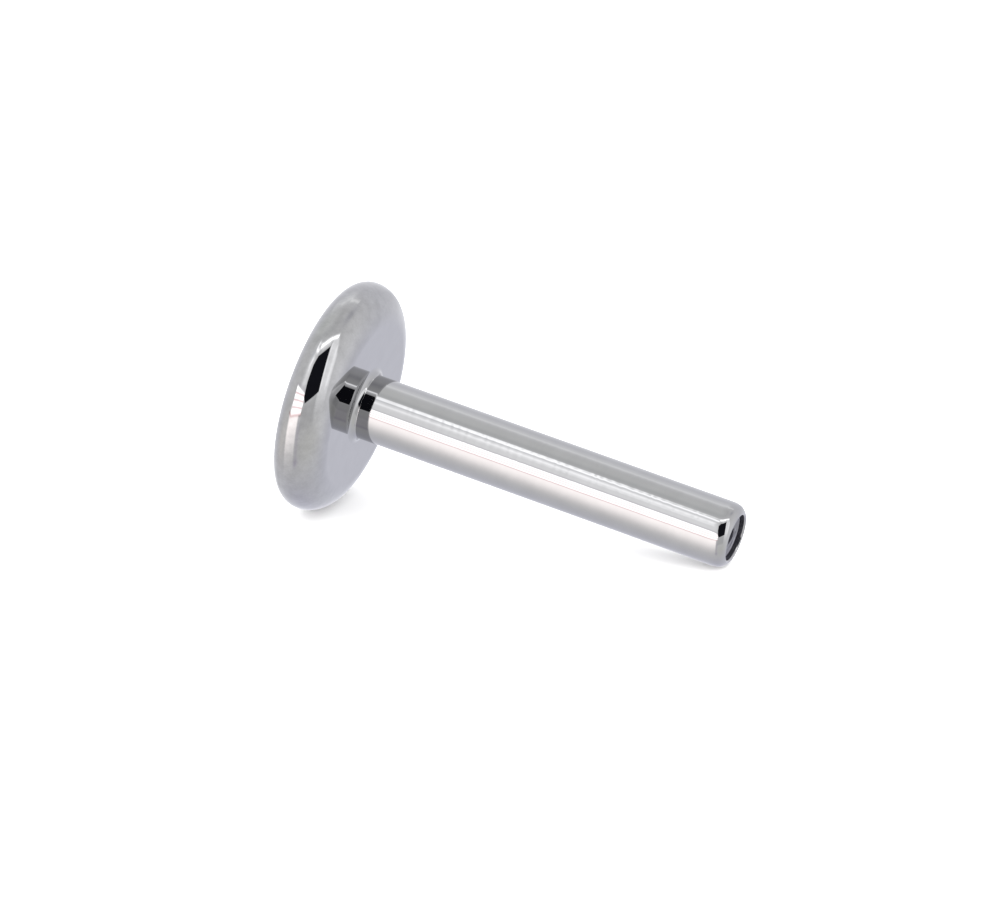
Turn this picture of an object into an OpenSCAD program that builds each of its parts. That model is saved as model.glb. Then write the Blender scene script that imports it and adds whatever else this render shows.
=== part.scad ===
// Labret stud: a round flat back and a post, turned from one piece of polished metal.
// The free end of the post has an internal thread, for a top that isn't part of this piece.
// The stud lies on its side as it would by itself: on the rim of the flat back and on the
// rim of the free end. All sizes are in millimetres.

/* [Flat back] */
// Diameter of the flat back
back_d = 4.3; // [3.6:0.1:5]
// Radius of the rim's rounding towards the post
rim_front_r = 0.5; // [0.4:0.02:0.6]
// Radius of the rim's rounding towards the flat side
rim_rear_r = 0.34; // [0.2:0.02:0.5]

/* [Post] */
// Diameter of the post (16 gauge)
post_d = 1.2; // [1.2:0.05:1.6]
// Length of the post, from the flat back to the free end
post_l = 7.35; // [6:0.05:12]
// Width of the sloping ring at the root of the post, which is as high as it is wide
ring_w = 0.09; // [0.04:0.01:0.2]
// Radius of the gentle curve that leads from the post's wall into the free end's rounding
ease_r = 0.7; // [0.5:0.05:1]
// Angle that the gentle curve turns through
ease_angle = 8.5; // [4:0.5:10]
// Radius of the rounding on the free end, which meets the bore's mouth
end_r = 0.23; // [0.2:0.01:0.25]

/* [Threaded bore] */
// Diameter of the screw that fits the thread
thread_d = 0.8; // [0.76:0.01:0.82]
// Pitch of the thread
thread_pitch = 0.2; // [0.16:0.01:0.22]
// Diameter of the tapping hole, which leaves a little over half the thread's full height
drill_d = 0.68; // [0.64:0.01:0.72]
// Number of whole turns of thread
thread_turns = 11; // [4:1:16]
// Diameter of the bore's mouth, which tapers in to the thread
mouth_d = 0.84; // [0.82:0.01:0.85]
// Depth of the tapered mouth
mouth_l = 0.1; // [0.06:0.01:0.2]
// Length of plain hole past the last thread
drill_l = 0.3; // [0.1:0.05:0.6]

/* [Quality] */
// Straight steps in one turn of the thread
thread_steps = 16; // [12:4:24]

/* [Hidden] */
$fn = 120;
lap = 0.05;

back_r = back_d / 2;
post_r = post_d / 2;
mouth_r = mouth_d / 2;
back_t = rim_front_r + rim_rear_r;

// Free end: the rounding's centre, the angle at which it meets the mouth, the height at which
// it starts and the height at which the gentle curve starts
end_x = post_r - ease_r * (1 - cos(ease_angle)) - end_r * cos(ease_angle);
end_angle = acos(max(mouth_r - end_x, 0) / end_r);
end_z = post_l - end_r * sin(end_angle);
end_low = end_z + end_r * sin(ease_angle);
ease_z = end_low - ease_r * sin(ease_angle);

// Thread form with 60 degrees between its flanks
thread_flank = 30;
thread_r = thread_d / 2;
crest_r = drill_d / 2;
root_w = thread_pitch / 8;
groove_in_r = crest_r - lap / 2;
groove_in_w = root_w + 2 * (thread_r - groove_in_r) * tan(thread_flank);
thread_l = thread_turns * thread_pitch;
bore_l = mouth_l + thread_l + drill_l;
drill_point = 118;

// The stud lies on the flat back's rim and on the free end. The line that touches the rim's
// rounding and a round edge of radius r around [x, z] gives its tilt.
function lean(x, z, r) =
    let (rise = back_r - rim_front_r - x, run = z + rim_front_r)
        acos((r - rim_front_r) / norm([rise, run])) - atan2(run, rise);

end_lean = lean(end_x, end_z, end_r);
tilt = end_lean > ease_angle ? end_lean : lean(post_r - ease_r, ease_z, ease_r);
seat_h = (back_r - rim_front_r) * cos(tilt) - rim_front_r * sin(tilt) + rim_front_r;

// Ends of the lying stud along its length. The front one is on the rounding or at the mouth.
front_angle = min(90 - tilt, end_angle);
front_x = (end_z + end_r * sin(front_angle)) * cos(tilt) + (end_x + end_r * cos(front_angle)) * sin(tilt);
rear_x = -rim_front_r * cos(tilt) - (back_r - rim_rear_r) * sin(tilt) - rim_rear_r;

// Quarter disc of radius r in the corner [x, y], which bulges towards dir, with square sides
module round_corner(x, y, r, dir) {
    intersection() {
        translate([x - r, y - dir * r]) circle(r = r);
        translate([x - r, dir > 0 ? y - r : y]) square(r);
    }
}

// The flat back's front face is at height 0, and the post rises from it
module flat_back() {
    rotate_extrude() {
        translate([0, -rim_front_r]) square([back_r - rim_front_r, rim_front_r]);
        round_corner(back_r, 0, rim_front_r, 1);
        translate([0, -back_t]) square([back_r - rim_rear_r, rim_rear_r]);
        round_corner(back_r, -back_t, rim_rear_r, -1);
    }
}

// Post with its rounded free end, sunk a little into the flat back
module post() {
    rotate_extrude() {
        translate([0, -lap]) square([post_r, ease_z + lap]);
        intersection() {
            translate([0, ease_z - lap]) square([post_r, end_low - ease_z + lap]);
            translate([post_r - ease_r, ease_z]) circle(r = ease_r);
        }
        translate([end_x, end_z]) circle(r = end_r);
        translate([0, end_z]) square([end_x, post_l - end_z]);
    }
}

// Sloping ring between the post and the flat back
module root_ring() {
    translate([0, 0, -lap]) cylinder(r1 = post_r + ring_w + lap, r2 = post_r - lap, h = ring_w + 2 * lap);
}

// Tapered mouth, tapping hole and drill point
module bore() {
    point_h = crest_r / tan(drill_point / 2);
    flare = (mouth_r - thread_r) / mouth_l;
    translate([0, 0, post_l - mouth_l])
        cylinder(r1 = thread_r, r2 = mouth_r + flare * lap, h = mouth_l + lap);
    translate([0, 0, post_l - bore_l]) cylinder(r = crest_r, h = bore_l);
    translate([0, 0, post_l - bore_l - point_h]) cylinder(r1 = 0, r2 = crest_r, h = point_h);
}

// Section of the thread's groove, as distances from the axis and along it
function groove_section() = [
    [groove_in_r, -groove_in_w / 2],
    [thread_r, -root_w / 2],
    [thread_r, root_w / 2],
    [groove_in_r, groove_in_w / 2],
];

// The groove winds up one pitch in each turn and runs out into the mouth
module thread_groove() {
    section = groove_section();
    n = len(section);
    rings = thread_turns * thread_steps;
    points = [
        for (i = [0:rings], p = section)
            let (a = 360 * i / thread_steps, z = post_l - mouth_l - thread_l + thread_pitch * i / thread_steps)
                [p[0] * cos(a), p[0] * sin(a), z + p[1]]
    ];
    sides = [
        for (i = [0:rings - 1], k = [0:n - 1])
            let (a = i * n + k, b = i * n + (k + 1) % n)
                each [[a, b, b + n], [a, b + n, a + n]]
    ];
    first_cap = [[0, 2, 1], [0, 3, 2]];
    last = rings * n;
    last_cap = [[last, last + 1, last + 2], [last, last + 2, last + 3]];
    polyhedron(points = points, faces = concat(sides, first_cap, last_cap));
}

module labret_post() {
    color("silver")
        translate([-(front_x + rear_x) / 2, 0, seat_h])
            rotate([0, 90 + tilt, 0])
                difference() {
                    union() {
                        flat_back();
                        post();
                        root_ring();
                    }
                    bore();
                    thread_groove();
                }
}

labret_post();
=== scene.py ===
import math

import bmesh
import bpy
import numpy as np
from mathutils import Matrix, Vector


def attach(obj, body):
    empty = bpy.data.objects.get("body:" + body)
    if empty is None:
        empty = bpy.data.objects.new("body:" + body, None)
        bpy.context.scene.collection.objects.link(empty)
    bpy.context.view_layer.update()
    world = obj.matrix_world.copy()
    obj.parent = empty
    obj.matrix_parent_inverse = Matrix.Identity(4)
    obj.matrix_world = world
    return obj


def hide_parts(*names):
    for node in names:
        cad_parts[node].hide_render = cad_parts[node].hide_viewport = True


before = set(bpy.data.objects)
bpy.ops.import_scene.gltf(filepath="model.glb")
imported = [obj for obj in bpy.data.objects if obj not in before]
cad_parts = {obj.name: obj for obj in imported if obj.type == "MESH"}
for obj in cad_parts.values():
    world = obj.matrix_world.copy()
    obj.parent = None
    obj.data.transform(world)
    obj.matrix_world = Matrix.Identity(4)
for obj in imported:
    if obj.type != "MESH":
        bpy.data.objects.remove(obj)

bl_info = {
    "name": "Labret stud",
    "version": (1, 0, 0),
    "blender": (4, 5, 0),
    "location": "3D View > Sidebar > Stud",
    "description": "Makes a polished, internally threaded labret stud and a soft white studio for it",
    "category": "Add Mesh",
}

MM = 0.001
MICRON = 1e-6
NODE = "labret_post"

# The thread's form: the slope of its flanks, and half the flat at its root as a part of the pitch.
# The tapping drill's point: half its angle.
FLANK = math.radians(30)
ROOT_FLAT = 1 / 16
DRILL_HALF_ANGLE = math.radians(59)

# Rows of the half section: steps in each rounding, distances along the straight parts, and the radius
# of the row around the middle of the flat side
RIM_STEPS = 20
SHOULDER_STEPS = 24
ROOT_STEPS = 16
LEAD_STEPS = 24
LIP_STEPS = 10
WALL_STEP = 0.4 * MM
FACE_STEP = 0.2 * MM
HOLE_STEP = 0.1 * MM
MOUTH_STEP = 0.02 * MM
SHELF_STEP = 0.01 * MM
CENTRE_RADIUS = 0.25 * MM

# Rows close to an edge keep it crisp under smooth shading
GUARD = 0.004 * MM
MOUTH_GUARD = 0.002 * MM
THREAD_GUARD = 0.0015 * MM

# Doubles closer than this are merged, and rows closer than a hair to the thread's ends are on them
MERGE_DISTANCE = 4e-7
HAIR = 1e-9

# Where the finish changes, in millimetres: the height at which the turning rings start, and the
# distance from the axis past which handling has stained the flat back's rim
RING_START = 0.8
STAIN_START = 1.35

# The bore is as the tap left it, with rings finer and deeper than the polished ones
BORE_FINISH = {"Ring Pitch": 0.03, "Ring Depth": 0.5, "Ripple Depth": 3.0, "Smudge": 0.1, "Specks": 0.15}


class StudSizes(bpy.types.PropertyGroup):
    """Sizes of the turned stud."""

    back_diameter: bpy.props.FloatProperty(
        name="Back diameter", description="Diameter of the flat back",
        default=4.3 * MM, unit="LENGTH", precision=5)
    rim_front: bpy.props.FloatProperty(
        name="Front rim radius", description="Rounding of the rim towards the post",
        default=0.5 * MM, unit="LENGTH", precision=5)
    rim_rear: bpy.props.FloatProperty(
        name="Rear rim radius", description="Rounding of the rim towards the flat side",
        default=0.34 * MM, unit="LENGTH", precision=5)
    post_diameter: bpy.props.FloatProperty(
        name="Post diameter", description="Diameter of the post",
        default=1.2 * MM, unit="LENGTH", precision=5)
    post_length: bpy.props.FloatProperty(
        name="Post length", description="From the flat back to the free end",
        default=7.35 * MM, unit="LENGTH", precision=5)
    face_rise: bpy.props.FloatProperty(
        name="Face rise", description="How far the front face stands above the flat back's nominal face",
        default=0.055 * MM, unit="LENGTH", precision=5)
    shoulder_angle: bpy.props.FloatProperty(
        name="Shoulder angle", description="Tilt at which the rim's rounding turns into the gentler shoulder",
        default=math.radians(50), subtype="ANGLE")
    root_radius: bpy.props.FloatProperty(
        name="Root radius", description="Hollow rounding between the front face and the post",
        default=0.135 * MM, unit="LENGTH", precision=5)
    root_angle: bpy.props.FloatProperty(
        name="Root angle", description="Angle at which the hollow rounding meets the post",
        default=math.radians(16), subtype="ANGLE")
    ease_radius: bpy.props.FloatProperty(
        name="Ease radius", description="Gentle curve from the post's wall into the free end's rounding",
        default=0.7 * MM, unit="LENGTH", precision=5)
    ease_angle: bpy.props.FloatProperty(
        name="Ease angle", description="Angle that the gentle curve turns through",
        default=math.radians(8.5), subtype="ANGLE")
    end_radius: bpy.props.FloatProperty(
        name="End rounding", description="Rounding of the free end, up to the bore's mouth",
        default=0.23 * MM, unit="LENGTH", precision=5)
    ease_lead: bpy.props.FloatProperty(
        name="Ease lead", description="How early the post's wall begins to lean towards the free end",
        default=0.13 * MM, unit="LENGTH", precision=5)
    lip_radius: bpy.props.FloatProperty(
        name="Lip radius", description="Rounding of the bore's mouth",
        default=0.035 * MM, unit="LENGTH", precision=5)
    mouth_diameter: bpy.props.FloatProperty(
        name="Mouth diameter", description="Diameter of the bore's plain mouth",
        default=0.84 * MM, unit="LENGTH", precision=5)
    mouth_depth: bpy.props.FloatProperty(
        name="Mouth depth", description="Depth of the plain mouth, down to the first thread",
        default=0.15 * MM, unit="LENGTH", precision=5)
    thread_diameter: bpy.props.FloatProperty(
        name="Thread diameter", description="Diameter of the screw that fits the thread",
        default=0.8 * MM, unit="LENGTH", precision=5)
    tapping_hole: bpy.props.FloatProperty(
        name="Tapping hole", description="Diameter at the crests of the thread",
        default=0.68 * MM, unit="LENGTH", precision=5)
    thread_pitch: bpy.props.FloatProperty(
        name="Pitch", description="Rise of the thread in one turn",
        default=0.2 * MM, unit="LENGTH", precision=5)
    thread_turns: bpy.props.IntProperty(
        name="Turns", description="Whole turns of thread", default=11, min=4, max=16)
    plain_hole: bpy.props.FloatProperty(
        name="Plain hole", description="Tapping hole past the last thread",
        default=0.25 * MM, unit="LENGTH", precision=5)
    sides: bpy.props.IntProperty(
        name="Sides", description="Faces around the stud", default=192, min=48, max=384)


class StudFinish(bpy.types.PropertyGroup):
    """Colours and polish of the metal."""

    metal: bpy.props.FloatVectorProperty(
        name="Metal", description="Colour of the polished metal",
        default=(0.38, 0.38, 0.388), min=0.0, max=1.0, size=3, subtype="COLOR")
    # The bore's metal is darker and bluer than the polished metal: that colour is painted shade inside the
    # hole, while its roughness is the tap's own finish
    bore_metal_with_painted_shade: bpy.props.FloatVectorProperty(
        name="Bore metal with painted shade", description="Colour of the tapped bore's metal, darkened with painted shade",
        default=(0.24, 0.24, 0.27), min=0.0, max=1.0, size=3, subtype="COLOR")
    polish: bpy.props.FloatProperty(
        name="Polish", description="Roughness of the mirror polish",
        default=0.025, min=0.0, max=1.0, subtype="FACTOR")
    bore_roughness: bpy.props.FloatProperty(
        name="Bore roughness", description="Roughness of the tapped bore",
        default=0.3, min=0.0, max=1.0, subtype="FACTOR")
    ring_pitch: bpy.props.FloatProperty(
        name="Ring pitch", description="Distance between the faint rings left by turning",
        default=0.17 * MM, unit="LENGTH", precision=6)
    ring_depth: bpy.props.FloatProperty(
        name="Ring depth", description="Height of the faint rings left by turning",
        default=0.3 * MICRON, unit="LENGTH", precision=8)
    ripple_depth: bpy.props.FloatProperty(
        name="Ripple depth", description="Height of the soft ripples in the polish",
        default=0.8 * MICRON, unit="LENGTH", precision=8)
    smudge: bpy.props.FloatProperty(
        name="Smudge", description="Strength of the faint smudges",
        default=0.14, min=0.0, max=1.0, subtype="FACTOR")
    rim_stains: bpy.props.FloatProperty(
        name="Rim stains", description="Strength of the stains that handling has left on the flat back's rim",
        default=0.5, min=0.0, max=1.0, subtype="FACTOR")
    specks: bpy.props.FloatProperty(
        name="Specks", description="Darkness of the tiny specks",
        default=0.06, min=0.0, max=1.0, subtype="FACTOR")


class StudStudio(bpy.types.PropertyGroup):
    """Floor, light tent and camera."""

    tent_radius: bpy.props.FloatProperty(
        name="Tent radius", description="Radius of the light tent",
        default=1.0, unit="LENGTH")
    floor_width: bpy.props.FloatProperty(
        name="Floor width", description="Width of the pale floor",
        default=0.6, unit="LENGTH")
    room_light: bpy.props.FloatProperty(
        name="Room light", description="Brightness of the white room that lights the floor",
        default=2.4, min=0.0)
    azimuth: bpy.props.FloatProperty(
        name="Azimuth", description="Camera's turn around the stud",
        default=math.radians(22.737), subtype="ANGLE")
    elevation: bpy.props.FloatProperty(
        name="Elevation", description="Camera's height above the horizon",
        default=math.radians(21.245), subtype="ANGLE")
    distance: bpy.props.FloatProperty(
        name="Distance", description="From the camera to the middle of the picture",
        default=0.12, unit="LENGTH")
    lens: bpy.props.FloatProperty(
        name="Lens", description="Focal length", default=240.6, unit="CAMERA")
    aim_right: bpy.props.FloatProperty(
        name="Aim right", description="Middle of the picture, to the right of the flat back's front face",
        default=2.465 * MM, unit="LENGTH", precision=6)
    aim_down: bpy.props.FloatProperty(
        name="Aim down", description="Middle of the picture, below the middle of the flat back's front face",
        default=0.999 * MM, unit="LENGTH", precision=6)


# The stud's own frame: height 0 is the flat back's front face and the post rises along +Z

def free_end(s):
    """Centre of the free end's rounding, and the angle at which it would meet the mouth."""
    ease = s.ease_angle
    x = s.post_diameter / 2 - s.ease_radius * (1 - math.cos(ease)) - s.end_radius * math.cos(ease)
    angle = math.acos((s.mouth_diameter / 2 - x) / s.end_radius)
    z = s.post_length - s.end_radius * math.sin(angle)
    return x, z, angle


def lying_pose(s):
    """Matrix that lays the upright stud down on the flat back's rim and the free end."""
    back_r = s.back_diameter / 2
    x, z, angle = free_end(s)
    rise = back_r - s.rim_front - x
    run = z + s.rim_front
    tilt = math.acos((s.end_radius - s.rim_front) / math.hypot(rise, run)) - math.atan2(run, rise)
    seat = (back_r - s.rim_front) * math.cos(tilt) - s.rim_front * math.sin(tilt) + s.rim_front
    top = min(math.pi / 2 - tilt, angle)
    front = ((z + s.end_radius * math.sin(top)) * math.cos(tilt)
             + (x + s.end_radius * math.cos(top)) * math.sin(tilt))
    rear = -s.rim_front * math.cos(tilt) - (back_r - s.rim_rear) * math.sin(tilt) - s.rim_rear
    place = Matrix.Translation((-(front + rear) / 2, 0.0, seat))
    return place @ Matrix.Rotation(math.pi / 2 + tilt, 4, "Y")


def arc(cr, cz, radius, start, end, steps):
    """Points of an arc in the half section, as (distance from the axis, height)."""
    turns = [math.radians(start + (end - start) * i / steps) for i in range(steps + 1)]
    return [(cr + radius * math.cos(t), cz + radius * math.sin(t)) for t in turns]


def straight(a, b, step, guard=GUARD):
    """Points between a and b, without either, with a guard row close to each end."""
    length = math.dist(a, b)
    count = max(int(round((length - 2 * guard) / step)), 1)
    ways = [guard + (length - 2 * guard) * i / count for i in range(count + 1)]
    return [(a[0] + (b[0] - a[0]) * w / length, a[1] + (b[1] - a[1]) * w / length) for w in ways]


def curve(points, steps):
    """Points of a cubic curve with four control points, after the first one."""
    ways = [(i + 1) / steps for i in range(steps)]
    weights = [((1 - t) ** 3, 3 * t * (1 - t) ** 2, 3 * t * t * (1 - t), t ** 3) for t in ways]
    return [tuple(sum(w * p[k] for w, p in zip(row, points)) for k in (0, 1)) for row in weights]


def lip(s):
    """Centre of the rounding of the bore's mouth, and the angles at which it starts and ends."""
    x, z, _ = free_end(s)
    gap = s.mouth_diameter / 2 + s.lip_radius - x
    rise = math.sqrt((s.end_radius - s.lip_radius) ** 2 - gap ** 2)
    return (x + gap, z + rise), math.atan2(rise, gap), math.pi


def outer_section(s):
    """Half section from the middle of the flat side round to the bore's mouth."""
    back_r = s.back_diameter / 2
    post_r = s.post_diameter / 2
    thick = s.rim_front + s.rim_rear
    rear = arc(back_r - s.rim_rear, -s.rim_front, s.rim_rear, -90, 0, RIM_STEPS)
    # The rim's front: its own rounding, then a gentler shoulder that rises to the face
    lean = s.shoulder_angle
    gentle = (s.rim_front * (1 - math.cos(lean)) + s.face_rise) / (1 - math.cos(lean))
    face_r = back_r - s.rim_front * (1 - math.sin(lean)) - gentle * math.sin(lean)
    change = 90 - math.degrees(lean)
    front = arc(back_r - s.rim_front, -s.rim_front, s.rim_front, 0, change, RIM_STEPS)
    shoulder = arc(face_r, s.face_rise - gentle, gentle, change, 90, SHOULDER_STEPS)
    hollow = arc(post_r + s.root_radius * math.cos(s.root_angle), s.face_rise + s.root_radius, s.root_radius,
                 270, 180 + math.degrees(s.root_angle), ROOT_STEPS)
    # The free end: a lead from the wall that takes up the rounding's own curvature, the rounding and the lip
    x, z, _ = free_end(s)
    half = math.radians(45)
    last = (x + s.end_radius * math.cos(half), z + s.end_radius * math.sin(half))
    reach = (post_r - last[0]) / math.sin(half)
    corner = (post_r, last[1] - reach * math.cos(half))
    hold = (post_r, corner[1] - 1.5 * reach ** 2 / s.end_radius / math.sin(half))
    start = (post_r, hold[1] - s.ease_lead)
    centre, lip_start, lip_end = lip(s)
    end_arc = arc(x, z, s.end_radius, math.degrees(half), math.degrees(lip_start), LIP_STEPS)
    lip_arc = arc(centre[0], centre[1], s.lip_radius, math.degrees(lip_start), math.degrees(lip_end),
                  LIP_STEPS)
    points = [(0.0, -thick)]
    points += straight((CENTRE_RADIUS, -thick), rear[0], WALL_STEP)
    points += rear + front[1:] + shoulder[1:]
    points += straight(shoulder[-1], hollow[0], FACE_STEP) + hollow
    points += straight(hollow[-1], start, WALL_STEP) + [start]
    points += curve((start, hold, corner, last), LEAD_STEPS)
    return points + end_arc[1:] + lip_arc[1:]


def thread_rows(s):
    """Heights of the rows of one pitch of thread, from the middle of the groove."""
    depth = (s.thread_diameter - s.tapping_hole) / 2
    half_root = s.thread_pitch * ROOT_FLAT
    half_top = half_root + depth * math.tan(FLANK)
    half = [0.0, half_root - THREAD_GUARD, half_root + THREAD_GUARD, (half_root + half_top) / 2,
            half_top - THREAD_GUARD, half_top + THREAD_GUARD]
    return half + [s.thread_pitch / 2] + [s.thread_pitch - h for h in reversed(half[1:])]


def bore_section(s):
    """Half section down the bore in three parts: mouth, rows of thread, and plain hole with drill point."""
    mouth_floor = s.post_length - s.mouth_depth
    thread_floor = mouth_floor - s.thread_turns * s.thread_pitch
    hole_floor = thread_floor - s.plain_hole
    crest_r = s.tapping_hole / 2
    thread_r = s.thread_diameter / 2
    mouth_r = s.mouth_diameter / 2
    shelf = mouth_floor + (mouth_r - thread_r)
    mouth = straight((mouth_r, lip(s)[0][1]), (mouth_r, shelf), MOUTH_STEP, MOUTH_GUARD)
    mouth.append((mouth_r, shelf))
    mouth += straight((mouth_r, shelf), (thread_r, mouth_floor), SHELF_STEP, MOUTH_GUARD)
    mouth.append((thread_r, mouth_floor))
    rows = []
    for turn in range(s.thread_turns, -2, -1):
        for h in reversed(thread_rows(s)):
            rows.append((crest_r, thread_floor + turn * s.thread_pitch + h))
    plain = straight((crest_r, thread_floor), (crest_r, hole_floor), HOLE_STEP)
    point = [(crest_r, hole_floor), (0.0, hole_floor - crest_r / math.tan(DRILL_HALF_ANGLE))]
    return mouth, rows, plain + point


# Geometry Nodes

def wire(tree, source, target):
    """Links an output to an input."""
    tree.links.new(source, target)


def math_node(tree, operation, a, b=None, clamp=False):
    """A Math node on sockets or plain numbers, as its output."""
    node = tree.nodes.new("ShaderNodeMath")
    node.operation = operation
    node.use_clamp = clamp
    for socket, value in zip(node.inputs, (a, b)):
        if value is None:
            continue
        if isinstance(value, bpy.types.NodeSocket):
            wire(tree, value, socket)
        else:
            socket.default_value = value
    return node.outputs[0]


def turning_tree():
    """Turns a half section around the axis, and winds the rows marked as thread into a helix."""
    tree = bpy.data.node_groups.new("Turned and threaded body", "GeometryNodeTree")
    face = tree.interface
    face.new_socket(name="Section", in_out="INPUT", socket_type="NodeSocketGeometry")
    whole = ("Sides", "Rows", "First Thread Row", "Last Thread Row")
    lengths = ("Pitch", "Thread Floor", "Thread Top", "Root Radius", "Crest Radius")
    for name in whole:
        face.new_socket(name=name, in_out="INPUT", socket_type="NodeSocketInt")
    for name in lengths:
        face.new_socket(name=name, in_out="INPUT", socket_type="NodeSocketFloat")
    face.new_socket(name="Metal", in_out="INPUT", socket_type="NodeSocketMaterial")
    face.new_socket(name="Bore Metal With Painted Shade", in_out="INPUT", socket_type="NodeSocketMaterial")
    face.new_socket(name="First Bore Row", in_out="INPUT", socket_type="NodeSocketInt")
    face.new_socket(name="Body", in_out="OUTPUT", socket_type="NodeSocketGeometry")
    given = tree.nodes.new("NodeGroupInput").outputs
    made = tree.nodes.new("NodeGroupOutput")

    columns = math_node(tree, "ADD", given["Sides"], 1)
    grid = tree.nodes.new("GeometryNodeMeshGrid")
    wire(tree, given["Rows"], grid.inputs["Vertices X"])
    wire(tree, columns, grid.inputs["Vertices Y"])
    index = tree.nodes.new("GeometryNodeInputIndex").outputs[0]
    row = math_node(tree, "FLOOR", math_node(tree, "DIVIDE", math_node(tree, "ADD", index, 0.5), columns))
    column = math_node(tree, "SUBTRACT", index, math_node(tree, "MULTIPLY", row, columns))
    turn = math_node(tree, "DIVIDE", column, given["Sides"])

    place = tree.nodes.new("GeometryNodeInputPosition").outputs[0]
    sample = tree.nodes.new("GeometryNodeSampleIndex")
    sample.data_type = "FLOAT_VECTOR"
    wire(tree, given["Section"], sample.inputs["Geometry"])
    wire(tree, place, sample.inputs["Value"])
    wire(tree, row, sample.inputs["Index"])
    apart = tree.nodes.new("ShaderNodeSeparateXYZ")
    wire(tree, sample.outputs[0], apart.inputs[0])
    radius, height = apart.outputs["X"], apart.outputs["Z"]

    # The thread's rows rise a pitch in each turn, and stay between the thread's floor and the mouth
    after = math_node(tree, "GREATER_THAN", row, math_node(tree, "SUBTRACT", given["First Thread Row"], 0.5))
    before = math_node(tree, "LESS_THAN", row, math_node(tree, "ADD", given["Last Thread Row"], 0.5))
    wound = math_node(tree, "MULTIPLY", after, before)
    lift = math_node(tree, "MULTIPLY", math_node(tree, "MULTIPLY", turn, given["Pitch"]), wound)
    raised = math_node(tree, "ADD", height, lift)
    below_top = math_node(tree, "MINIMUM", raised, given["Thread Top"])
    held = math_node(tree, "MAXIMUM", below_top, given["Thread Floor"])
    # How far the row is from the middle of the nearest groove
    above_floor = math_node(tree, "SUBTRACT", height, given["Thread Floor"])
    phase = math_node(tree, "DIVIDE", above_floor, given["Pitch"])
    offset = math_node(tree, "SUBTRACT", phase, math_node(tree, "ROUND", phase))
    away = math_node(tree, "MULTIPLY", math_node(tree, "ABSOLUTE", offset), given["Pitch"])
    root_half = math_node(tree, "MULTIPLY", given["Pitch"], ROOT_FLAT)
    past_root = math_node(tree, "SUBTRACT", away, root_half)
    climb = math_node(tree, "MULTIPLY", past_root, 1 / math.tan(FLANK))
    cut = math_node(tree, "SUBTRACT", given["Root Radius"], math_node(tree, "MAXIMUM", climb, 0.0))
    groove = math_node(tree, "MAXIMUM", cut, given["Crest Radius"])
    # A row pressed against the mouth takes the root's radius, and one pressed against the floor the crest's
    at_top = math_node(tree, "GREATER_THAN", raised, math_node(tree, "SUBTRACT", given["Thread Top"], HAIR))
    at_floor = math_node(tree, "LESS_THAN", raised, math_node(tree, "ADD", given["Thread Floor"], HAIR))
    for flag, level in ((at_top, given["Root Radius"]), (at_floor, given["Crest Radius"])):
        step = math_node(tree, "MULTIPLY", math_node(tree, "SUBTRACT", level, groove), flag)
        groove = math_node(tree, "ADD", groove, step)
    thread_step = math_node(tree, "MULTIPLY", math_node(tree, "SUBTRACT", groove, radius), wound)
    radius = math_node(tree, "ADD", radius, thread_step)
    height_step = math_node(tree, "MULTIPLY", math_node(tree, "SUBTRACT", held, height), wound)
    height = math_node(tree, "ADD", height, height_step)

    angle = math_node(tree, "MULTIPLY", turn, 2 * math.pi)
    x = math_node(tree, "MULTIPLY", radius, math_node(tree, "COSINE", angle))
    y = math_node(tree, "MULTIPLY", radius, math_node(tree, "SINE", angle))
    join = tree.nodes.new("ShaderNodeCombineXYZ")
    for socket, value in zip(join.inputs, (x, y, height)):
        wire(tree, value, socket)
    shape = tree.nodes.new("GeometryNodeSetPosition")
    wire(tree, grid.outputs["Mesh"], shape.inputs["Geometry"])
    wire(tree, join.outputs[0], shape.inputs["Position"])

    in_bore = tree.nodes.new("GeometryNodeCaptureAttribute")
    in_bore.capture_items.new("FLOAT", "In Bore")
    wire(tree, shape.outputs[0], in_bore.inputs[0])
    is_bore = math_node(tree, "GREATER_THAN", row, math_node(tree, "SUBTRACT", given["First Bore Row"], 0.5))
    wire(tree, is_bore, in_bore.inputs[1])
    merge = tree.nodes.new("GeometryNodeMergeByDistance")
    merge.inputs["Distance"].default_value = MERGE_DISTANCE
    wire(tree, in_bore.outputs[0], merge.inputs["Geometry"])
    smooth = tree.nodes.new("GeometryNodeSetShadeSmooth")
    wire(tree, merge.outputs[0], smooth.inputs["Geometry"])
    real = tree.nodes.new("GeometryNodeRealizeInstances")
    wire(tree, smooth.outputs[0], real.inputs[0])
    dress = tree.nodes.new("GeometryNodeSetMaterial")
    wire(tree, real.outputs[0], dress.inputs["Geometry"])
    wire(tree, given["Metal"], dress.inputs["Material"])
    # A face belongs to the bore when all its corners do
    line = tree.nodes.new("GeometryNodeSetMaterial")
    wire(tree, dress.outputs[0], line.inputs["Geometry"])
    wire(tree, math_node(tree, "GREATER_THAN", in_bore.outputs[1], 0.99), line.inputs["Selection"])
    wire(tree, given["Bore Metal With Painted Shade"], line.inputs["Material"])
    wire(tree, line.outputs[0], made.inputs[0])
    return tree


def set_inputs(modifier, values):
    """Sets a Geometry Nodes modifier's inputs by their sockets' identifiers."""
    for item in modifier.node_group.interface.items_tree:
        if item.item_type == "SOCKET" and item.in_out == "INPUT" and item.name in values:
            modifier[item.identifier] = values[item.name]


# Materials

def new_material(name):
    """A material, its node tree and its shader."""
    material = bpy.data.materials.new(name)
    material.use_nodes = True
    return material, material.node_tree, material.node_tree.nodes["Principled BSDF"]


def noise_node(tree, vector, scale, detail, roughness=0.5):
    """Noise from 0 to 1, as its output."""
    node = tree.nodes.new("ShaderNodeTexNoise")
    node.inputs["Scale"].default_value = scale
    node.inputs["Detail"].default_value = detail
    node.inputs["Roughness"].default_value = roughness
    wire(tree, vector, node.inputs["Vector"])
    return node.outputs["Fac"]


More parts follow.
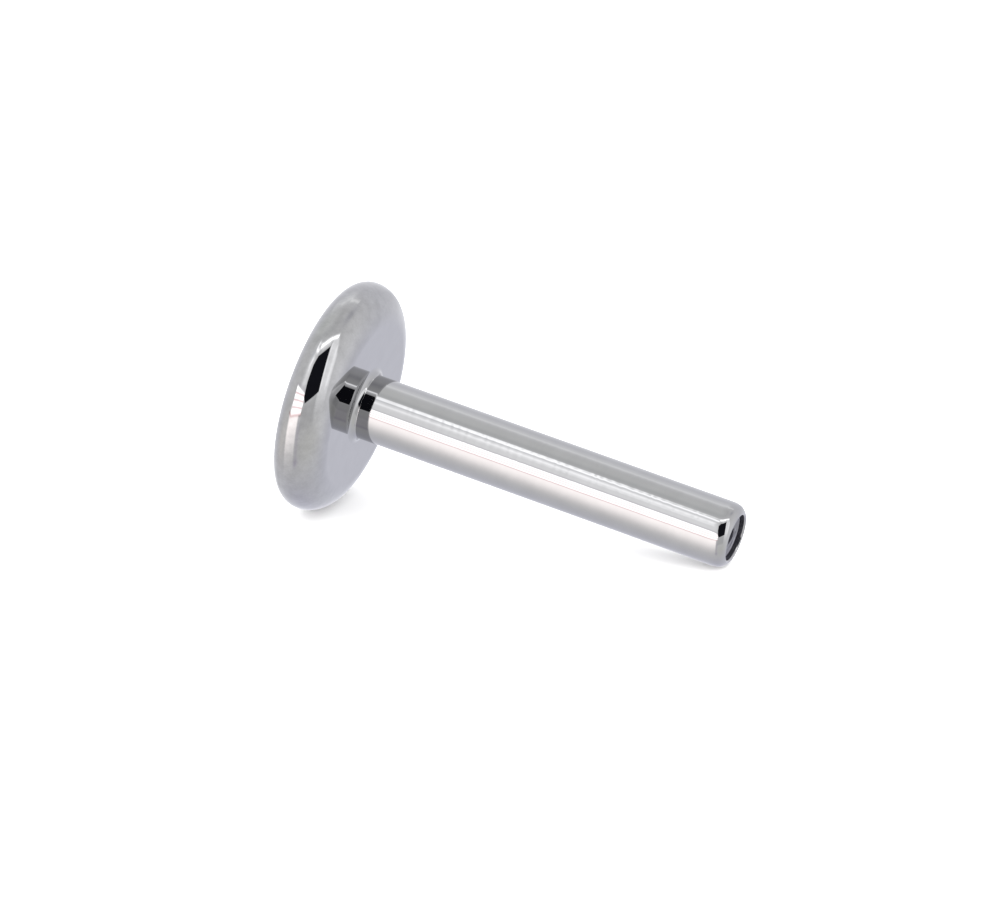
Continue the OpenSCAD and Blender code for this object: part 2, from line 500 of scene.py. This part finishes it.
def fade_in(tree, value, start, rate):
    """0 up to start, then a rise to 1 at the given rate."""
    return math_node(tree, "MULTIPLY", math_node(tree, "SUBTRACT", value, start), rate, clamp=True)


def finish_group():
    """The turned and polished finish: rings left by the tool, ripples, smudges, stains and tiny specks."""
    tree = bpy.data.node_groups.new("Turned finish", "ShaderNodeTree")
    face = tree.interface
    face.new_socket(name="Vector", in_out="INPUT", socket_type="NodeSocketVector")
    plain = {"Ring Pitch": 0.1, "Ring Depth": 0.0, "Ripple Depth": 0.0, "Roughness": 0.05,
             "Smudge": 0.0, "Rim Stains": 0.0, "Specks": 0.0}
    for name, value in plain.items():
        face.new_socket(name=name, in_out="INPUT", socket_type="NodeSocketFloat").default_value = value
    face.new_socket(name="Colour", in_out="INPUT", socket_type="NodeSocketColor")
    face.new_socket(name="Colour", in_out="OUTPUT", socket_type="NodeSocketColor")
    face.new_socket(name="Roughness", in_out="OUTPUT", socket_type="NodeSocketFloat")
    face.new_socket(name="Height", in_out="OUTPUT", socket_type="NodeSocketFloat")
    given = tree.nodes.new("NodeGroupInput").outputs
    made = tree.nodes.new("NodeGroupOutput").inputs
    place = given["Vector"]

    # Distance along the turned profile: up the post, and inwards across the flat back
    apart = tree.nodes.new("ShaderNodeSeparateXYZ")
    wire(tree, place, apart.inputs[0])
    squares = [math_node(tree, "MULTIPLY", apart.outputs[k], apart.outputs[k]) for k in "XY"]
    radius = math_node(tree, "SQRT", math_node(tree, "ADD", squares[0], squares[1]))
    along = math_node(tree, "SUBTRACT", apart.outputs["Z"], radius)
    wander = noise_node(tree, place, scale=1.6, detail=2.0)
    turns = math_node(tree, "ADD", math_node(tree, "DIVIDE", along, given["Ring Pitch"]),
                      math_node(tree, "MULTIPLY", wander, 3.0))
    ring = math_node(tree, "SINE", math_node(tree, "MULTIPLY", turns, 2 * math.pi))
    # The rings are worn unevenly, and the flat back is polished clear of them
    kept = fade_in(tree, apart.outputs["Z"], RING_START, rate=1.5)
    worn = math_node(tree, "MULTIPLY", noise_node(tree, place, scale=5.0, detail=1.0), kept)
    ring = math_node(tree, "MULTIPLY", math_node(tree, "MULTIPLY", ring, worn), given["Ring Depth"])
    ripple = math_node(tree, "MULTIPLY", noise_node(tree, place, scale=2.2, detail=1.0),
                       given["Ripple Depth"])
    wire(tree, math_node(tree, "ADD", ring, ripple), made["Height"])

    cloud = noise_node(tree, place, scale=3.0, detail=4.0, roughness=0.6)
    veil = math_node(tree, "MULTIPLY", math_node(tree, "SUBTRACT", cloud, 0.5), given["Smudge"])
    # Handling has left stains on the flat back's rim
    rim = fade_in(tree, radius, STAIN_START, rate=1.8)
    blot = math_node(tree, "SUBTRACT", noise_node(tree, place, scale=4.5, detail=4.0, roughness=0.75), 0.5)
    stain = math_node(tree, "MULTIPLY", math_node(tree, "MULTIPLY", blot, rim), given["Rim Stains"])
    grain = noise_node(tree, place, scale=45.0, detail=1.0)
    speck = math_node(tree, "MULTIPLY", fade_in(tree, grain, start=0.72, rate=12.0), given["Specks"])
    tone = math_node(tree, "SUBTRACT", math_node(tree, "ADD", veil, 1.0), speck)
    tone = math_node(tree, "ADD", tone, stain)
    shade = tree.nodes.new("ShaderNodeVectorMath")
    shade.operation = "SCALE"
    wire(tree, given["Colour"], shade.inputs[0])
    wire(tree, tone, shade.inputs["Scale"])
    wire(tree, shade.outputs[0], made["Colour"])
    rough = math_node(tree, "ADD", math_node(tree, "MULTIPLY", veil, 0.5), given["Roughness"])
    rough = math_node(tree, "ADD", rough, math_node(tree, "MULTIPLY", speck, 0.3))
    rough = math_node(tree, "MAXIMUM", rough, 0.0)
    wire(tree, rough, made["Roughness"])
    return tree


def turned_metal(name, group, pose, colour, values):
    """Bare metal with the turned finish laid out along the stud's own axis, in millimetres."""
    material, tree, shader = new_material(name)
    shader.inputs["Metallic"].default_value = 1.0
    shader.inputs["Specular Tint"].default_value = (1.0, 1.0, 1.0, 1.0)
    where = tree.nodes.new("ShaderNodeTexCoord").outputs["Object"]
    turned = tree.nodes.new("ShaderNodeMapping")
    back = pose.inverted()
    turned.inputs["Scale"].default_value = (1 / MM, 1 / MM, 1 / MM)
    turned.inputs["Rotation"].default_value = back.to_euler("XYZ")
    turned.inputs["Location"].default_value = back.to_translation() / MM
    wire(tree, where, turned.inputs["Vector"])
    finish = tree.nodes.new("ShaderNodeGroup")
    finish.node_tree = group
    wire(tree, turned.outputs[0], finish.inputs["Vector"])
    finish.inputs["Colour"].default_value = (*colour, 1.0)
    for key, value in values.items():
        finish.inputs[key].default_value = value
    bump = tree.nodes.new("ShaderNodeBump")
    bump.inputs["Strength"].default_value = 1.0
    bump.inputs["Distance"].default_value = MICRON
    wire(tree, finish.outputs["Height"], bump.inputs["Height"])
    wire(tree, bump.outputs[0], shader.inputs["Normal"])
    wire(tree, finish.outputs["Colour"], shader.inputs["Base Color"])
    wire(tree, finish.outputs["Roughness"], shader.inputs["Roughness"])
    return material


class STUD_OT_body(bpy.types.Operator):
    """Turns the stud from its half section and cuts the thread in its bore"""

    bl_idname = "stud.body"
    bl_label = "Make the stud"

    def execute(self, context):
        s = context.scene.stud_sizes
        look = context.scene.stud_finish
        outer = outer_section(s)
        mouth, rows, bottom = bore_section(s)
        points = outer + mouth + rows + bottom
        pose = lying_pose(s)
        group = finish_group()
        metal = turned_metal("polished_titanium", group, pose, look.metal, {
            "Ring Pitch": look.ring_pitch / MM, "Ring Depth": look.ring_depth / MICRON,
            "Ripple Depth": look.ripple_depth / MICRON, "Roughness": look.polish,
            "Smudge": look.smudge, "Rim Stains": look.rim_stains, "Specks": look.specks})
        # The bore gets a darker copy of the titanium, whose colour holds painted shade inside the hole
        bore_metal_with_painted_shade = turned_metal("tapped_titanium_painted_shade", group, pose, look.bore_metal_with_painted_shade,
                                  {**BORE_FINISH, "Roughness": look.bore_roughness})
        section = bpy.data.meshes.new("stud_section")
        section.from_pydata([(r, 0.0, z) for r, z in points], [], [])
        carrier = bpy.data.objects.new("stud_section", section)
        context.collection.objects.link(carrier)
        first = len(outer) + len(mouth)
        modifier = carrier.modifiers.new("Turning", "NODES")
        modifier.node_group = turning_tree()
        set_inputs(modifier, {
            "Sides": s.sides,
            "Rows": len(points),
            "First Thread Row": first,
            "Last Thread Row": first + len(rows) - 1,
            "Pitch": s.thread_pitch,
            "Thread Floor": s.post_length - s.mouth_depth - s.thread_turns * s.thread_pitch,
            "Thread Top": s.post_length - s.mouth_depth,
            "Root Radius": s.thread_diameter / 2,
            "Crest Radius": s.tapping_hole / 2,
            "Metal": metal,
            "Bore Metal With Painted Shade": bore_metal_with_painted_shade,
            "First Bore Row": len(outer) - 1,
        })
        graph = context.evaluated_depsgraph_get()
        mesh = bpy.data.meshes.new_from_object(carrier.evaluated_get(graph))
        mesh.name = "labret_stud"
        bpy.data.objects.remove(carrier)
        bpy.data.meshes.remove(section)
        mesh.transform(pose)
        bm = bmesh.new()
        bm.from_mesh(mesh)
        if bm.calc_volume(signed=True) < 0:
            bmesh.ops.reverse_faces(bm, faces=bm.faces)
        whole = all(edge.is_manifold for edge in bm.edges)
        bm.to_mesh(mesh)
        bm.free()
        if not whole:
            raise RuntimeError("the stud's surface isn't closed")
        stud = bpy.data.objects.new("labret_stud", mesh)
        context.collection.objects.link(stud)
        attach(stud, "root")
        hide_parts(NODE)
        return {"FINISHED"}


# Studio

def camera_axes(azimuth, elevation):
    """Unit vectors to the camera, to its right and up, in the stud's frame."""
    sa, ca = math.sin(azimuth), math.cos(azimuth)
    se, ce = math.sin(elevation), math.cos(elevation)
    back = Vector((sa * ce, -ca * ce, se))
    right = Vector((ca, sa, 0.0))
    up = Vector((-sa * se, ca * se, ce))
    return back, right, up


def ramp(d, soft):
    """1 well inside a shape and 0 well outside, with a smooth edge soft wide."""
    t = np.clip(0.5 - d / soft, 0, 1)
    return t * t * (3 - 2 * t)


def outside(x, y, corners):
    """Signed distance to a convex polygon whose corners run clockwise in the picture."""
    d = np.full(x.shape, -1e9)
    for (x0, y0), (x1, y1) in zip(corners, corners[1:] + corners[:1]):
        ex, ey = x1 - x0, y1 - y0
        d = np.maximum(d, ((x - x0) * ey - (y - y0) * ex) / math.hypot(ex, ey))
    return d


def fold(x, y, points, width):
    """A soft strip along a polyline."""
    best = np.full(x.shape, 1e9)
    for (x0, y0), (x1, y1) in zip(points[:-1], points[1:]):
        ex, ey = x1 - x0, y1 - y0
        t = np.clip(((x - x0) * ex + (y - y0) * ey) / (ex * ex + ey * ey), 0, 1)
        best = np.minimum(best, np.hypot(x - x0 - t * ex, y - y0 - t * ey))
    return np.exp(-0.5 * (best / width) ** 2)


def patch(x, y, cx, cy, rx, ry):
    """A soft oval patch."""
    return np.exp(-0.5 * (((x - cx) / rx) ** 2 + ((y - cy) / ry) ** 2))


# Corners of the dark window and of the lamp, and the lamp's ribs, in degrees to the right of and below
# the camera
WINDOW = [(-4, -32.5), (27.5, -33.2), (36.5, 15.5), (-6, 16.5), (-14, 8), (-15.5, -8), (-12, -25)]
LAMP = [(-57, -17), (-15, 4), (-12, 14), (-13, 26), (-52, 18), (-58, 12)]
RIBS = ([(-10, 8), (-60, -10)], [(-10, 14), (-62, -3)], [(-12, 20), (-66, 4)])

# Brightness of the tent's plain cloth and of the dark window, and the two tints of the floor
CLOTH_LIGHT = 1.155
WINDOW_LIGHT = (0.016, 0.016, 0.022)
FLOOR_TINTS = ((0.93, 0.93, 0.935, 1.0), (0.96, 0.96, 0.96, 1.0))


def tent_light(x, y):
    """Brightness of the tent by direction: x and y are degrees to the right of and below the camera."""
    far = np.hypot(x, y)
    level = np.ones(x.shape + (3,))
    level *= 1 - 0.07 * np.exp(-0.5 * ((far - 75) / 35) ** 2)[..., None]
    level *= 1 - ramp(105 - far, 60)[..., None] * np.array([0.05, 0.045, 0.0])

    def add(mask, amount, tint=(1, 1, 1)):
        level[...] += mask[..., None] * amount * np.array(tint)

    def dim(mask, tint):
        level[...] *= 1 - mask[..., None] * (1 - np.array(tint))

    # Cloth above and behind the camera
    dim(patch(x, y, 110, 120, 40, 45), (0.92, 0.93, 0.94))
    dim(patch(x, y, 20, -76, 10, 11), (0.84, 0.84, 0.84))
    dim(patch(x, y, 50, -63, 9, 8), (0.74, 0.74, 0.78))
    dim(patch(x, y, -40, -80, 30, 12), (0.95, 0.97, 0.94))
    add(fold(x, y, [(-30, -106), (0, -108), (25, -106)], 9), 0.20, (1, 1.02, 0.98))
    add(fold(x, y, [(0, -102), (25, -102)], 3), 0.16, (1, 1.02, 0.98))
    add(patch(x, y, -2, -80, 14, 20), 0.05)
    add(fold(x, y, [(28, -97), (42, -92), (55, -84)], 2.2), 0.4, (1, 1, 0.95))
    add(patch(x, y, 82, 20, 24, 42), 0.24)
    dim(patch(x, y, 145, -115, 32, 42), (0.76, 0.76, 0.77))
    add(patch(x, y, -120, -100, 40, 50), 0.12)
    dim(patch(x, y, 0, 140, 60, 26), (0.84, 0.84, 0.90))
    dim(patch(x, y, -120, 80, 10, 16), (0.86, 0.86, 0.86))
    add(patch(x, y, -80, 30, 16, 14), 0.13)
    dim(patch(x, y, 130, 60, 45, 45), (0.92, 0.92, 0.965))
    # Cloth below the window
    dim(ramp(outside(x, y, [(-10, 18), (37, 18), (40, 44), (-10, 44)]), 8), (0.83, 0.83, 0.83))
    dim(fold(x, y, [(-13, 40), (-10, 76)], 4.5), (0.88, 0.86, 0.91))
    dim(patch(x, y, -10, 78, 9, 4), (0.86, 0.84, 0.90))
    dim(patch(x, y, 40, 62, 35, 14), (0.97, 0.97, 0.93))
    dim(patch(x, y, -90, 35, 22, 25), (1.0, 0.97, 0.93))
    # Bright folds above the window, and pale cloth at its sides
    add(fold(x, y, [(-14.5, -42.3), (-10, -40)], 2.1), 1.4)
    add(fold(x, y, [(-15, -51), (-17.8, -44.5)], 1.4), 1.2)
    add(fold(x, y, [(-20.3, -38), (-22, -30), (-24, -23)], 1.3), 0.25)
    add(fold(x, y, [(31, -34), (38.5, 14)], 1.1), 0.4)
    crease = fold(x, y, [(-3, -43), (10, -43.8), (20, -43.5)], 2.1)
    crease = np.maximum(crease, fold(x, y, [(20, -43.5), (30, -42.3), (41, -39.2)], 1.6))
    add(crease, 2.4)
    add(fold(x, y, [(4, -37.6), (24, -38)], 1.7), 0.35)
    add(fold(x, y, [(-12, -49), (-2, -45)], 1.5), 0.5)
    pale = ramp(outside(x, y, [(30, -40), (44, -40), (60, -10), (68, 70), (36, 70)]), 4)
    add(pale * ramp(y - 24, 44), 0.46)
    add(fold(x, y, [(52, -22), (55, 0), (55, 14)], 2.5), 0.3)
    add(patch(x, y, -23, -25, 8, 17), 0.56)
    add(patch(x, y, -31, -10, 6, 5), 0.2)
    dim(patch(x, y, -27, -42, 6, 4), (0.78, 0.79, 0.81))
    dim(patch(x, y, -8, -60, 24, 6), (0.86, 0.87, 0.87))
    add(fold(x, y, [(-27, -29), (-19, -33)], 1.8), 0.35)
    # The lamp with its ribs, and the warm glow that it throws on the cloth below
    lamp = ramp(outside(x, y, LAMP), 2.5)
    glow = np.exp(-0.5 * (np.maximum(y - 22, 0) / 24) ** 2)
    glow *= ramp(5 - y, 20) * ramp(x + 20, 7) * ramp(-62 - x, 12)
    ribs = np.maximum.reduce([fold(x, y, points, 0.8) for points in RIBS])
    add(lamp, 1.9, (1, 0.99, 0.98))
    add(glow * (1 - lamp), 1.3, (1, 0.90, 0.86))
    dim(ribs * lamp, (0.62, 0.48, 0.48))
    dim(fold(x, y, [(-12, 26), (-20, 24.5), (-40, 20.5), (-55, 17), (-67, 9)], 1.4), (0.70, 0.56, 0.56))
    dim(fold(x, y, [(-11, 4), (-20, -1.5), (-40, -12), (-66, -21)], 1.1), (0.92, 0.90, 0.93))
    window = ramp(outside(x, y, WINDOW), 1.5)[..., None]
    return CLOTH_LIGHT * level * (1 - window) + window * np.array(WINDOW_LIGHT)


def tent_mesh(radius, axes):
    """A ball around the stud whose pole faces the camera, with its light in a colour attribute."""
    back, right, up = (np.array(v) for v in axes)
    # The rings lie closer together on the camera's side, which holds the window and the lamp
    rings = np.concatenate([np.arange(0.5, 60, 0.5), np.arange(60, 179.5, 1.5), [179.6]])
    spokes = 720
    turn = np.radians(np.arange(spokes) * 360 / spokes)
    rho, phi = np.meshgrid(rings, turn, indexing="ij")
    x, y = rho * np.cos(phi), rho * np.sin(phi)
    off = np.radians(rho)
    way = (np.cos(off)[..., None] * back
           + (np.sin(off) * np.cos(phi))[..., None] * right
           - (np.sin(off) * np.sin(phi))[..., None] * up)
    points = [tuple(radius * back)] + [tuple(p) for p in (radius * way).reshape(-1, 3)]
    points.append(tuple(-radius * back))
    light = np.concatenate([tent_light(np.zeros(1), np.zeros(1)), tent_light(x, y).reshape(-1, 3),
                            tent_light(np.full(1, 180.0), np.zeros(1))])
    faces = []
    last = len(points) - 1
    for k in range(spokes):
        n = (k + 1) % spokes
        faces.append((0, 1 + n, 1 + k))
        faces.append((last, last - spokes + k, last - spokes + n))
        for i in range(len(rings) - 1):
            a = 1 + i * spokes
            faces.append((a + k, a + n, a + spokes + n, a + spokes + k))
    mesh = bpy.data.meshes.new("light_tent")
    mesh.from_pydata(points, [], faces)
    colour = mesh.color_attributes.new("light", "FLOAT_COLOR", "POINT")
    values = np.concatenate([light, np.ones((len(light), 1))], axis=1)
    colour.data.foreach_set("color", values.astype(np.float32).ravel())
    return mesh


class STUD_OT_studio(bpy.types.Operator):
    """Sets up the pale floor, the white light tent with its dark window and lamp, and the camera"""

    bl_idname = "stud.studio"
    bl_label = "Make the studio"

    def execute(self, context):
        room = context.scene.stud_studio
        s = context.scene.stud_sizes
        axes = camera_axes(room.azimuth, room.elevation)
        back, right, up = axes

        floor_mesh = bpy.data.meshes.new("floor")
        w = room.floor_width / 2
        floor_mesh.from_pydata([(-w, -w, 0), (w, -w, 0), (w, w, 0), (-w, w, 0)], [], [(0, 1, 2, 3)])
        floor = bpy.data.objects.new("floor", floor_mesh)
        paper, tree, shader = new_material("white_floor")
        shader.inputs["Roughness"].default_value = 1.0
        shader.inputs["Specular IOR Level"].default_value = 0.0
        where = tree.nodes.new("ShaderNodeTexCoord").outputs["Object"]
        tint = tree.nodes.new("ShaderNodeMix")
        tint.data_type = "RGBA"
        pale, paler = [socket for socket in tint.inputs if socket.type == "RGBA"]
        pale.default_value, paler.default_value = FLOOR_TINTS
        wire(tree, noise_node(tree, where, scale=900.0, detail=3.0), tint.inputs[0])
        mixed = [socket for socket in tint.outputs if socket.type == "RGBA"][0]
        wire(tree, mixed, shader.inputs["Base Color"])
        floor_mesh.materials.append(paper)
        floor.visible_glossy = False

        tent = bpy.data.objects.new("light_tent", tent_mesh(room.tent_radius, axes))
        cloth, tree, unused = new_material("tent_light")
        tree.nodes.remove(unused)
        cloth.cycles.emission_sampling = "NONE"
        glow = tree.nodes.new("ShaderNodeEmission")
        light = tree.nodes.new("ShaderNodeVertexColor")
        light.layer_name = "light"
        wire(tree, light.outputs["Color"], glow.inputs["Color"])
        wire(tree, glow.outputs[0], tree.nodes["Material Output"].inputs["Surface"])
        tent.data.materials.append(cloth)
        tent.visible_camera = False
        tent.visible_diffuse = False
        tent.visible_shadow = False
        tent.visible_transmission = False
        for piece in (floor, tent):
            context.collection.objects.link(piece)

        world = bpy.data.worlds.new("white_room")
        world.use_nodes = True
        world.node_tree.nodes["Background"].inputs["Color"].default_value = (1, 1, 1, 1)
        world.node_tree.nodes["Background"].inputs["Strength"].default_value = room.room_light
        context.scene.world = world
        context.scene.view_settings.view_transform = "Standard"

        face = lying_pose(s) @ Vector((0, 0, 0))
        aim = face + right * room.aim_right - up * room.aim_down
        lens = bpy.data.cameras.new("camera")
        lens.lens = room.lens
        lens.clip_start = 0.001
        lens.clip_end = 1.0
        camera = bpy.data.objects.new("camera", lens)
        camera.rotation_mode = "QUATERNION"
        camera.location = aim + back * room.distance
        camera.rotation_quaternion = (-back).to_track_quat("-Z", "Y")
        context.collection.objects.link(camera)
        context.scene.camera = camera
        return {"FINISHED"}


class STUD_PT_panel(bpy.types.Panel):
    """Lists the sizes, the finish, the studio and the two operators"""

    bl_label = "Labret stud"
    bl_idname = "STUD_PT_panel"
    bl_space_type = "VIEW_3D"
    bl_region_type = "UI"
    bl_category = "Stud"

    def draw(self, context):
        for group in (context.scene.stud_sizes, context.scene.stud_finish, context.scene.stud_studio):
            box = self.layout.box()
            for name in group.__annotations__:
                box.prop(group, name)
        self.layout.operator("stud.body")
        self.layout.operator("stud.studio")


CLASSES = (StudSizes, StudFinish, StudStudio, STUD_OT_body, STUD_OT_studio, STUD_PT_panel)


def register():
    """Adds the classes and the scene's settings."""
    for item in CLASSES:
        bpy.utils.register_class(item)
    bpy.types.Scene.stud_sizes = bpy.props.PointerProperty(type=StudSizes)
    bpy.types.Scene.stud_finish = bpy.props.PointerProperty(type=StudFinish)
    bpy.types.Scene.stud_studio = bpy.props.PointerProperty(type=StudStudio)


def unregister():
    """Takes the settings and the classes away."""
    del bpy.types.Scene.stud_studio
    del bpy.types.Scene.stud_finish
    del bpy.types.Scene.stud_sizes
    for item in reversed(CLASSES):
        bpy.utils.unregister_class(item)


def main():
    """Makes the studio and the stud."""
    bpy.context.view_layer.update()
    register()
    bpy.ops.stud.studio()
    bpy.ops.stud.body()


if __name__ == "__main__":
    main()
